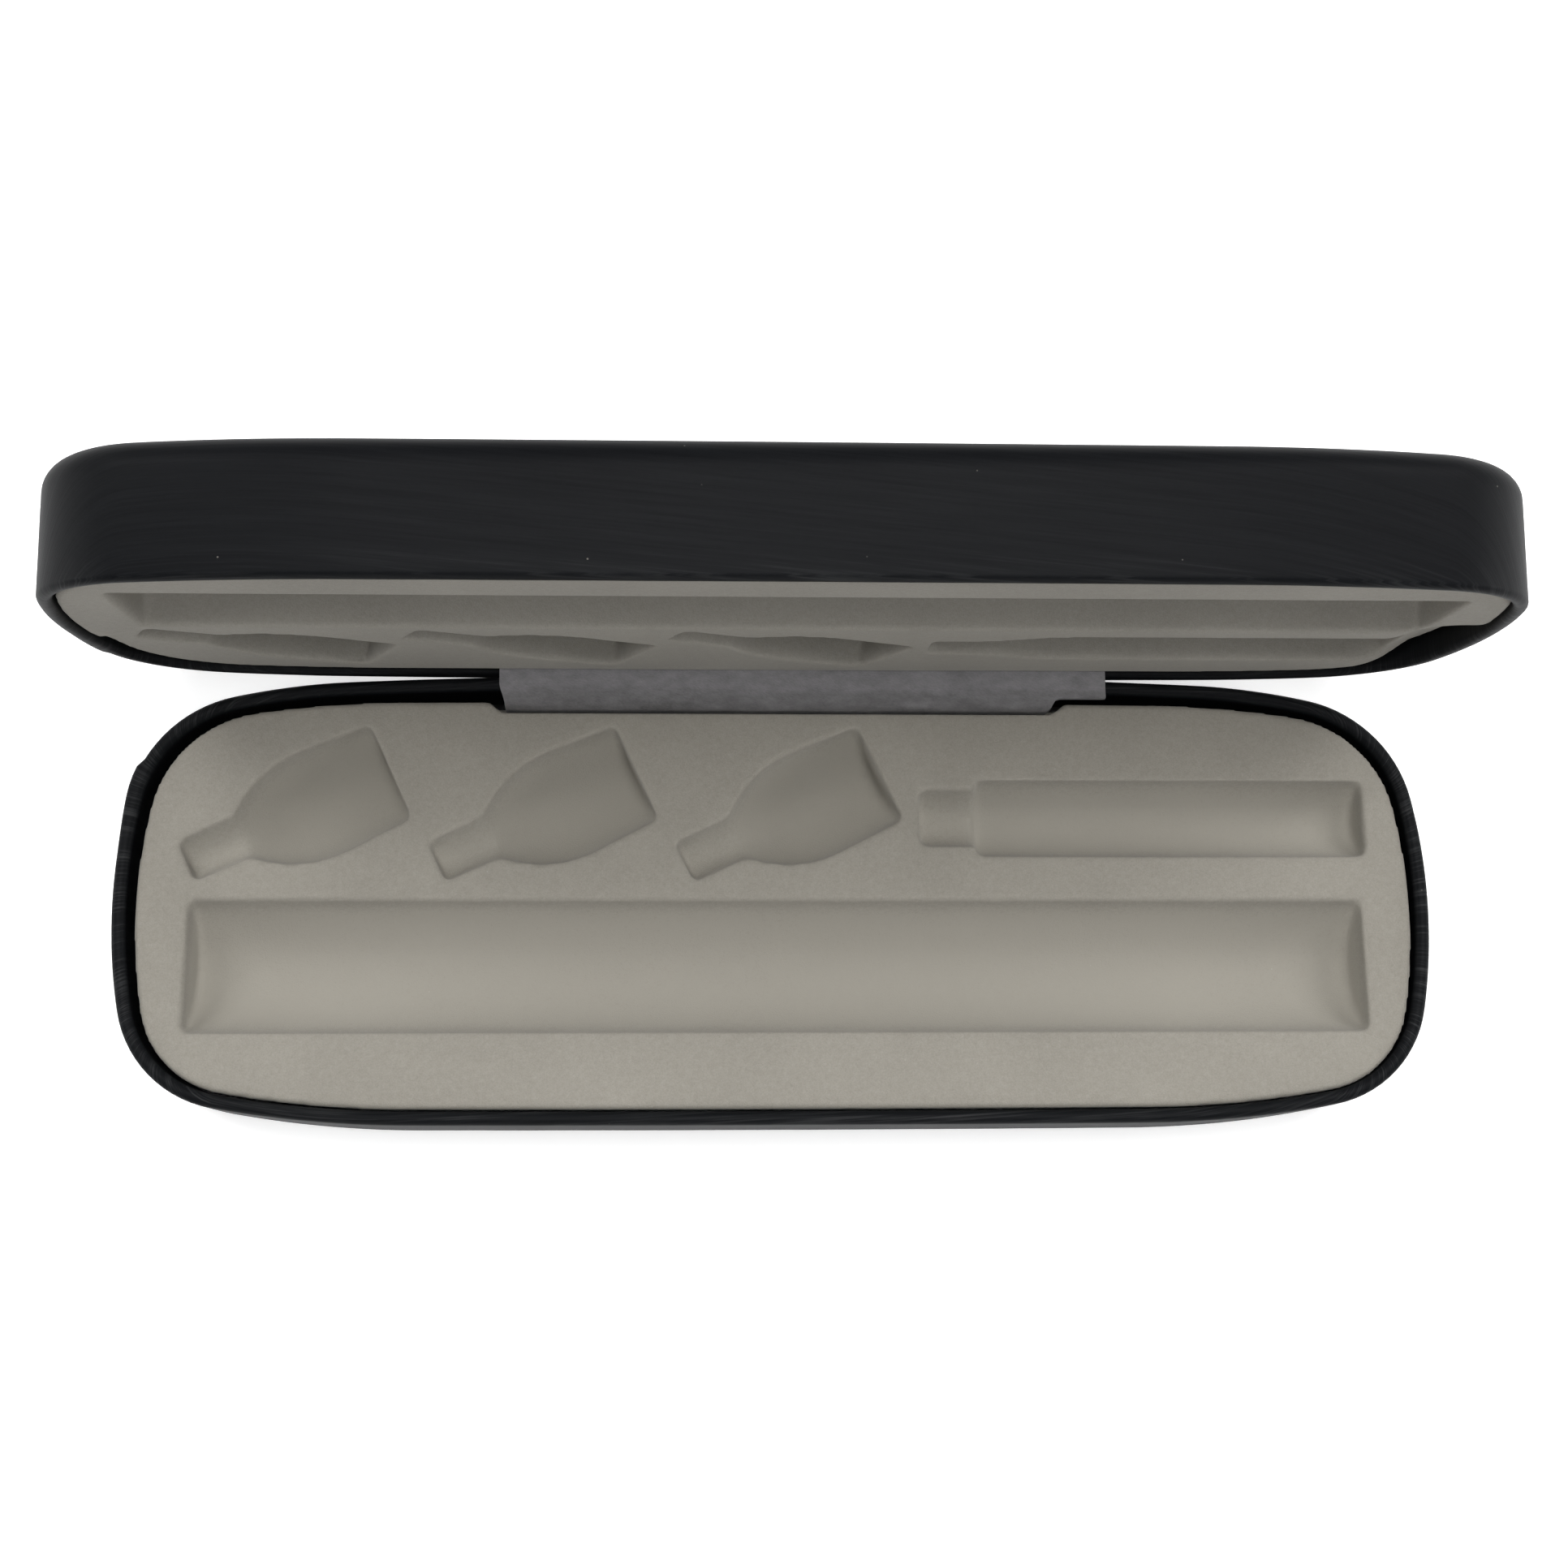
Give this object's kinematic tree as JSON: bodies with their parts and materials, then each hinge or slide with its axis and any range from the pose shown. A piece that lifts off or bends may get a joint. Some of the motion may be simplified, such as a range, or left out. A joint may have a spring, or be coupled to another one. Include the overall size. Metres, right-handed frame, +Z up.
{
  "type": "injection pen case",
  "caption": "Hard clamshell case for an injection pen: two leathercloth-covered steel shells on a rear hinge, each with a flocked tray with pen, cartridge and needle recesses.",
  "frame": {"origin": "middle of the base's underside, on the table", "axes": "+X to the right along the hinge, +Y towards the hinge at the rear, +Z up"},
  "size_m": [0.1908, 0.0831, 0.0815],
  "materials": {
    "leathercloth": "satin",
    "pressed_steel": "matte",
    "flocking": "matte",
    "hinge_steel": "satin",
    "spring_steel": "satin",
    "lining_fabric": "matte"
  },
  "bodies": {
    "base": {"base_cover": "leathercloth", "base_shell": "pressed_steel", "base_tray": "flocking", "hinge_leaf_base": "hinge_steel", "base_hinge_rivets": "hinge_steel", "hinge_pin": "hinge_steel", "hinge_spring_left": "spring_steel", "hinge_spring_right": "spring_steel", "hinge_lining": "lining_fabric", "spine_cover": "leathercloth"},
    "lid": {"lid_cover": "leathercloth", "lid_shell": "pressed_steel", "lid_tray": "flocking", "hinge_leaf_lid": "hinge_steel", "lid_hinge_rivets": "hinge_steel"}
  },
  "joints": [
    {"name": "lid_hinge", "type": "hinge", "parent": "base", "child": "lid", "pos_m": [0, 0.03084, 0.01641], "axis": [1, 0, 0], "range_deg": [0, 84.7], "deforming": ["hinge_lining", "spine_cover", "hinge_spring_left", "hinge_spring_right"]}
  ]
}
